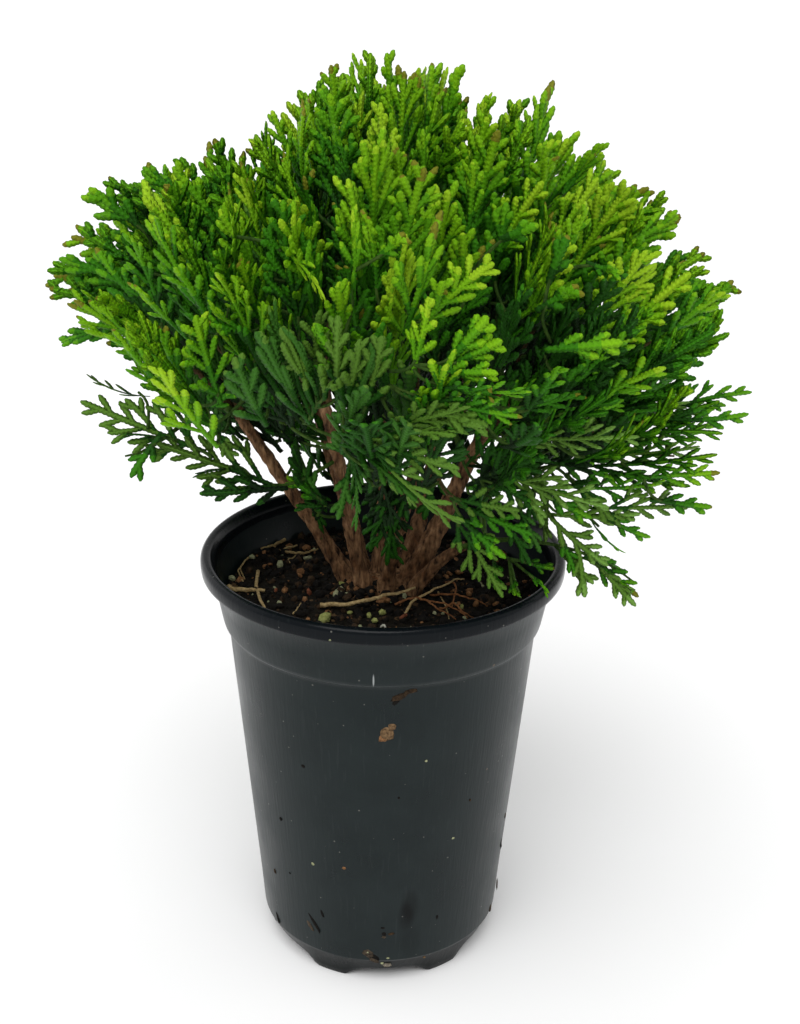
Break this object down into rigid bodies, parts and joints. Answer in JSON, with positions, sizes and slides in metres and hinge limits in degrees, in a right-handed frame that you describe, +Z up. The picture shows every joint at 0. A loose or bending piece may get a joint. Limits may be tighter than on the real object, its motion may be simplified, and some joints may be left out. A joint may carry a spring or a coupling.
{
  "type": "potted danica arborvitae",
  "caption": "Small globe-shaped evergreen shrub with flat scale-leaved sprays on several stems, standing in a round tapered plastic nursery pot",
  "frame": {"origin": "centre of the pot's flat underside, on the surface it stands on", "axes": "+Z up; +X to the right and -Y towards the viewer in the reference view; +X is chosen, as a pot has no front of its own"},
  "size_m": [0.2148, 0.1916, 0.3019],
  "materials": {
    "pot_plastic": "satin charcoal moulded plastic with fine dust, scuffs and specks of soil",
    "potting_soil": "damp dark peat mix with bark bits, pale granules and straw",
    "bark": "orange-brown fibrous bark in long shreds",
    "foliage": "flat sprays of overlapping green scale leaves, lime at the tips and blue-green inside"
  },
  "bodies": {
    "root": {"bough_back_left": "bark", "bough_back_right": "bark", "bough_front": "bark", "bough_front_left": "bark", "bough_left": "bark", "bough_low_right": "bark", "bough_right": "bark", "bough_top": "bark", "foliage_back": "foliage", "foliage_back_left": "foliage", "foliage_back_right": "foliage", "foliage_droop_right": "foliage", "foliage_front": "foliage", "foliage_front_left": "foliage", "foliage_front_low": "foliage", "foliage_front_right": "foliage", "foliage_left": "foliage", "foliage_low_back_left": "foliage", "foliage_low_back_right": "foliage", "foliage_low_front_right": "foliage", "foliage_low_left": "foliage", "foliage_low_right": "foliage", "foliage_right": "foliage", "foliage_top": "foliage", "foliage_top_back": "foliage", "foliage_top_front": "foliage", "foliage_top_left": "foliage", "foliage_top_right": "foliage", "pot": "pot_plastic", "soil": "potting_soil", "trunk": "bark"}
  },
  "joints": []
}
